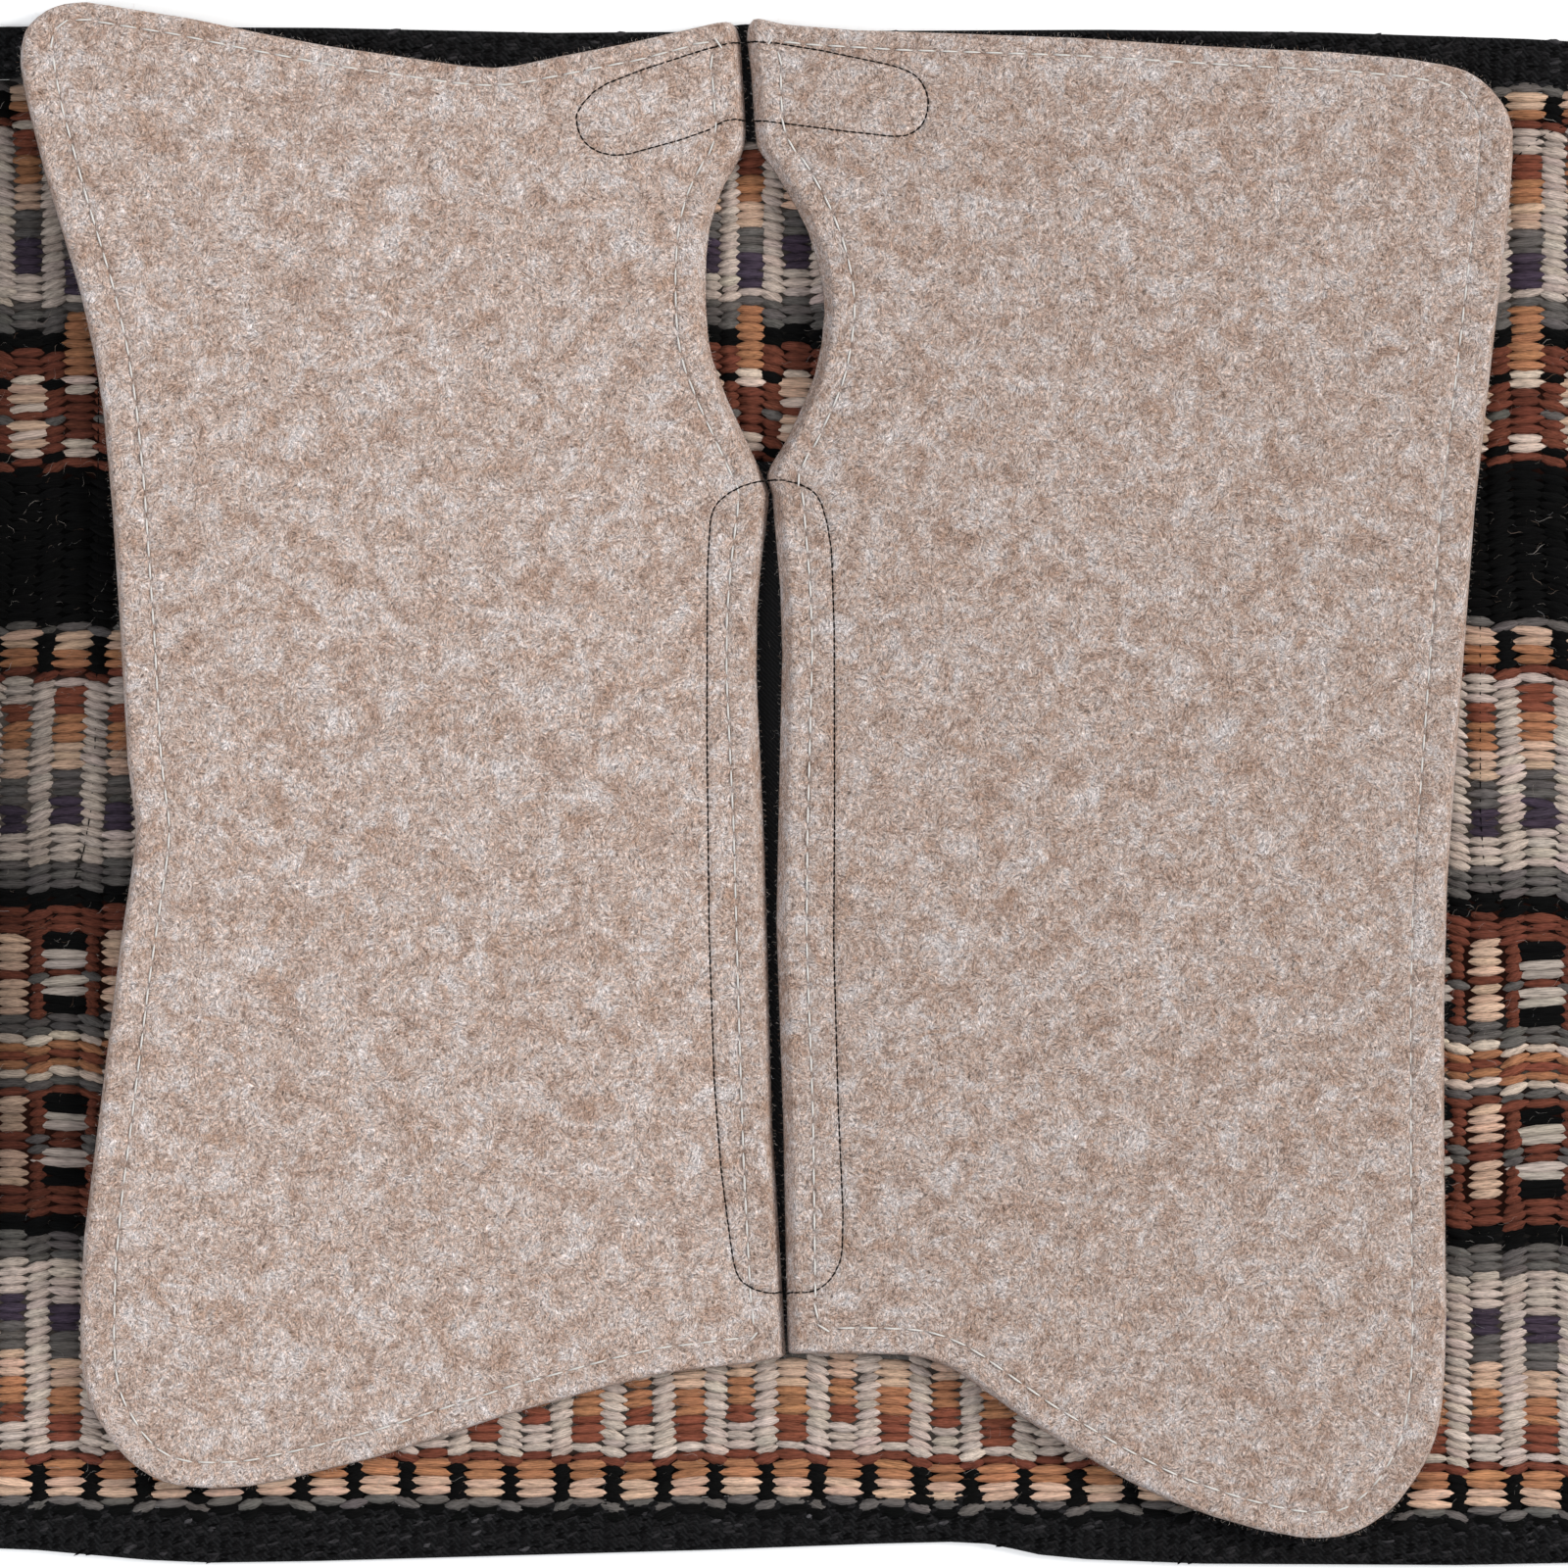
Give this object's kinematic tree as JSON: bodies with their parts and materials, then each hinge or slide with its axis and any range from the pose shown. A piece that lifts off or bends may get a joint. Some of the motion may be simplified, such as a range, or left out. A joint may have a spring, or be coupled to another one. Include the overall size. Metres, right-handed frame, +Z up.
{
  "type": "western saddle pad",
  "caption": "Western show saddle pad with a woven wool top, a two-part contoured felt underlay, wear leathers and a fold along the spine.",
  "frame": {"origin": "under the middle of the pad as it lies flat with its felt side up, on the surface that it lies on", "axes": "+X to the right across the pad, +Y towards the front (withers), +Z up out of the felt; seen from above the pad lies as it was laid out, so the spine line is about 1.9 degrees off Y"},
  "size_m": [1.016, 0.8867, 0.0223],
  "materials": {
    "weave": "weft-faced woven wool in bands of taupe, rust, tan, peach, grey and black",
    "border": "fine ribbed black wool binding",
    "felt": "heathered beige pressed wool felt",
    "foam": "matt black closed-cell foam",
    "strap": "matt black strap",
    "wear_leather": "grained black leather",
    "light_thread": "light bonded thread",
    "black_thread": "black bonded thread"
  },
  "bodies": {
    "left_half": {"woven_top_left": "weave", "front_border_left": "border", "back_border_left": "border", "wear_leather_left": "wear_leather", "wear_leather_thread_left": "black_thread", "front_tab_left": "strap", "spine_strip_left": "strap", "foam_core_left": "foam", "felt_left": "felt", "felt_edge_thread_left": "light_thread", "front_tab_thread_left": "black_thread", "spine_strip_thread_left": "black_thread"},
    "right_half": {"woven_top_right": "weave", "front_border_right": "border", "back_border_right": "border", "wear_leather_right": "wear_leather", "wear_leather_thread_right": "black_thread", "front_tab_right": "strap", "spine_strip_right": "strap", "foam_core_right": "foam", "felt_right": "felt", "felt_edge_thread_right": "light_thread", "front_tab_thread_right": "black_thread", "spine_strip_thread_right": "black_thread"}
  },
  "joints": [
    {"name": "spine_fold", "type": "hinge", "parent": "left_half", "child": "right_half", "pos_m": [-0.0093, 0, 0.0238], "axis": [0.033, -0.9995, 0], "range_deg": [0, 178]}
  ]
}
